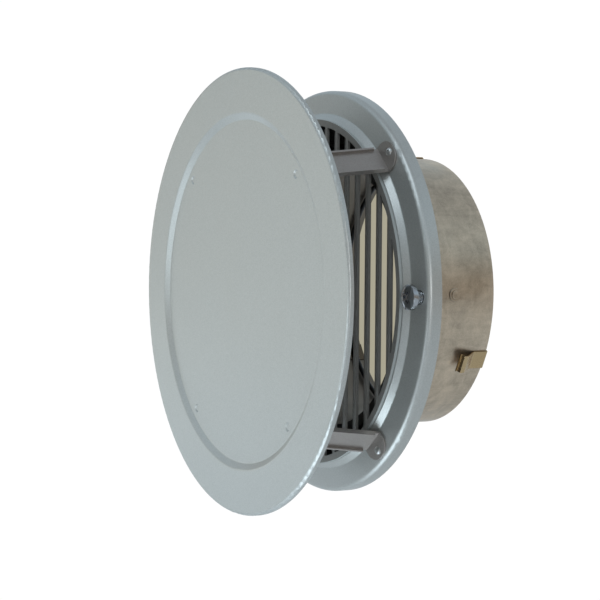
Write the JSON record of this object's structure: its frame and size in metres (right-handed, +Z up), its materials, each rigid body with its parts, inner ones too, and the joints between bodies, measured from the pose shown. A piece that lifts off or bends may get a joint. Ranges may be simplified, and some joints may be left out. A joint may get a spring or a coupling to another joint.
{
  "type": "flat-cover air diffuser",
  "caption": "Round duct-end air diffuser: flat cover disc on legs before a louvred base ring, with a spring-clipped sleeve that pushes into the duct.",
  "frame": {"origin": "on the duct's axis, in the wall or ceiling face that the base ring rests on", "axes": "+Y along the duct's axis into the duct, -Y out towards the flat cover, +Z up as pictured, +X to the right seen from the cover's side"},
  "size_m": [0.1578, 0.0763, 0.1578],
  "materials": {
    "silver_paint": "satin silver metallic paint",
    "louvre_paint": "satin silver metallic paint, darker in the shade",
    "leg_paint": "satin silver metallic paint",
    "rivet_metal": "satin",
    "sleeve_steel": "bare stainless sheet",
    "mount_black": "blackened steel",
    "dark_wire": "blackened spring wire",
    "spring_strip": "bronze spring strip",
    "screw_chrome": "bright plated",
    "washer_nylon": "nylon"
  },
  "bodies": {
    "sleeve_body": {"sleeve": "sleeve_steel", "mounting_plate": "mount_black", "sleeve_rivets": "sleeve_steel", "clip_retaining_ring": "dark_wire", "clip_hook_right": "spring_strip", "clip_hook_top": "spring_strip", "clip_hook_left": "spring_strip"},
    "cover_body": {"face_plate": "silver_paint", "leg_upper_right": "leg_paint", "leg_upper_left": "leg_paint", "leg_lower_left": "leg_paint", "leg_lower_right": "leg_paint", "foot_rivets": "rivet_metal", "base_ring": "silver_paint", "louvre_plate": "louvre_paint"},
    "washer_right_body": {"washer_right": "washer_nylon"},
    "screw_right_body": {"screw_right": "screw_chrome"},
    "washer_left_body": {"washer_left": "washer_nylon"},
    "screw_left_body": {"screw_left": "screw_chrome"},
    "clip_leaf_right_body": {"clip_leaf_right": "spring_strip"},
    "clip_leaf_top_body": {"clip_leaf_top": "spring_strip"},
    "clip_leaf_left_body": {"clip_leaf_left": "spring_strip"}
  },
  "joints": [
    {"name": "cover_slide", "type": "slide", "parent": "sleeve_body", "child": "cover_body", "axis": [0, -1, 0], "range_m": [0, 0.05]},
    {"name": "screw_right_advance", "type": "slide", "parent": "cover_body", "child": "washer_right_body", "axis": [0, 1, 0], "range_m": [-0.0021, 0.00125]},
    {"name": "screw_right_turn", "type": "hinge", "parent": "washer_right_body", "child": "screw_right_body", "pos_m": [0.0675, -0.0087, 0], "axis": [0, 1, 0], "range_deg": [-1090, 650]},
    {"name": "screw_left_advance", "type": "slide", "parent": "cover_body", "child": "washer_left_body", "axis": [0, 1, 0], "range_m": [-0.0021, 0.00125]},
    {"name": "screw_left_turn", "type": "hinge", "parent": "washer_left_body", "child": "screw_left_body", "pos_m": [-0.0675, -0.0087, 0], "axis": [0, 1, 0], "range_deg": [-1090, 650]},
    {"name": "clip_right_flex", "type": "hinge", "parent": "sleeve_body", "child": "clip_leaf_right_body", "pos_m": [0.04353, 0.0314, -0.02314], "axis": [-0.4695, 0, -0.8829], "range_deg": [0, 13], "stiffness_Nm_per_rad": 0.1},
    {"name": "clip_top_flex", "type": "hinge", "parent": "sleeve_body", "child": "clip_leaf_top_body", "pos_m": [-0.00172, 0.0314, 0.04927], "axis": [0.9994, 0, 0.0349], "range_deg": [0, 13], "stiffness_Nm_per_rad": 0.1},
    {"name": "clip_left_flex", "type": "hinge", "parent": "sleeve_body", "child": "clip_leaf_left_body", "pos_m": [-0.04181, 0.0314, -0.02612], "axis": [-0.5299, 0, 0.848], "range_deg": [0, 13], "stiffness_Nm_per_rad": 0.1}
  ],
  "couplings": [
    {"joint": "screw_right_turn", "follows": "screw_right_advance", "rad_per_m": 8976},
    {"joint": "screw_left_turn", "follows": "screw_left_advance", "rad_per_m": 8976}
  ]
}
